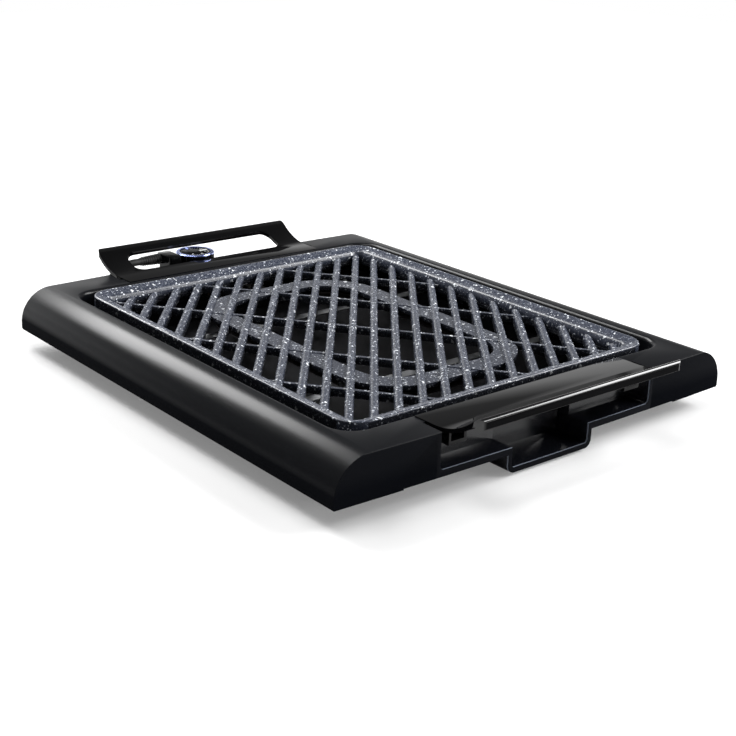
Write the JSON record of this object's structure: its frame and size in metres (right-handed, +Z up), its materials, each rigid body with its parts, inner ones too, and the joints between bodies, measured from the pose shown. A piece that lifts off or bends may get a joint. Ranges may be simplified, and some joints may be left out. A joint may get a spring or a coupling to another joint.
{
  "type": "electric indoor grill",
  "caption": "Low rectangular countertop grill: rounded black housing, lift-off slatted grill plate over a heating loop and drip tray, two scooped handles and a plug-in dial controller with lead.",
  "frame": {"origin": "on the table under the middle of the grill, measured without the free lead, its coil and its plug", "axes": "+X through both handles towards the end without the controller, +Y towards the far long side, +Z up"},
  "size_m": [0.5991, 0.406, 0.0693],
  "materials": {
    "housing_plastic": "satin black",
    "pan_plastic": "matt black",
    "gloss_black": "gloss black",
    "rubber_black": "matt rubber",
    "zinc_steel": "zinc plated",
    "block_phenolic": "moulded phenolic",
    "contact_brass": "plain brass",
    "tray_steel": "dark coated steel",
    "heater_sheath": "oxidised sheath",
    "ceramic": "unglazed ceramic",
    "granite_nonstick": "speckled non-stick on cast aluminium",
    "dial_chrome": "bluish chrome",
    "mark_white": "white print"
  },
  "bodies": {
    "base": {"housing_shell": "housing_plastic", "cup_far": "housing_plastic", "cup_near": "housing_plastic", "base_pan": "pan_plastic", "foot_fl": "rubber_black", "foot_fr": "rubber_black", "foot_rl": "rubber_black", "foot_rr": "rubber_black", "pan_screw_1": "zinc_steel", "pan_screw_2": "zinc_steel", "pan_screw_3": "zinc_steel", "pan_screw_4": "zinc_steel", "pan_screw_5": "zinc_steel", "pan_screw_6": "zinc_steel", "pan_screw_7": "zinc_steel", "pan_screw_8": "zinc_steel", "handle_near": "gloss_black", "handle_far": "gloss_black", "handle_screw_1": "zinc_steel", "handle_screw_2": "zinc_steel", "handle_screw_3": "zinc_steel", "handle_screw_4": "zinc_steel", "terminal_block": "block_phenolic", "saddle_contact_l": "contact_brass", "saddle_contact_r": "contact_brass", "terminal_pin_l": "zinc_steel", "terminal_pin_r": "zinc_steel"},
    "tray": {"drip_tray": "tray_steel"},
    "element": {"element_tube": "heater_sheath", "element_rest_a": "zinc_steel", "element_rest_b": "zinc_steel", "element_end_l": "ceramic", "element_end_r": "ceramic"},
    "plate": {"plate_rim": "granite_nonstick", "plate_grid": "granite_nonstick"},
    "controller": {"case_lower": "gloss_black", "case_upper": "gloss_black", "case_screw_a": "zinc_steel", "case_screw_b": "zinc_steel", "thermostat": "zinc_steel", "socket_l": "contact_brass", "socket_r": "contact_brass", "sensing_stud": "zinc_steel", "cord_gland": "rubber_black", "cord": "rubber_black", "cord_coil": "rubber_black", "cord_tie": "rubber_black", "plug_body": "rubber_black", "plug_blade_l": "contact_brass", "plug_blade_r": "contact_brass"},
    "dial": {"dial_knob": "gloss_black", "dial_ring": "dial_chrome", "dial_mark": "mark_white", "dial_shaft": "contact_brass"}
  },
  "joints": [
    {"name": "tray_lift", "type": "slide", "parent": "base", "child": "tray", "axis": [0, 0, 1], "range_m": [0, 0.06]},
    {"name": "element_lift", "type": "slide", "parent": "tray", "child": "element", "axis": [0, 0, 1], "range_m": [0, 0.06]},
    {"name": "plate_lift", "type": "slide", "parent": "element", "child": "plate", "axis": [0, 0, 1], "range_m": [0, 0.06]},
    {"name": "controller_pull", "type": "slide", "parent": "base", "child": "controller", "axis": [-1, 0, 0], "range_m": [0, 0.08]},
    {"name": "dial_turn", "type": "hinge", "parent": "controller", "child": "dial", "pos_m": [-0.2472, -0.008, 0.05], "axis": [0, 0, -1], "range_deg": [0, 270]}
  ]
}
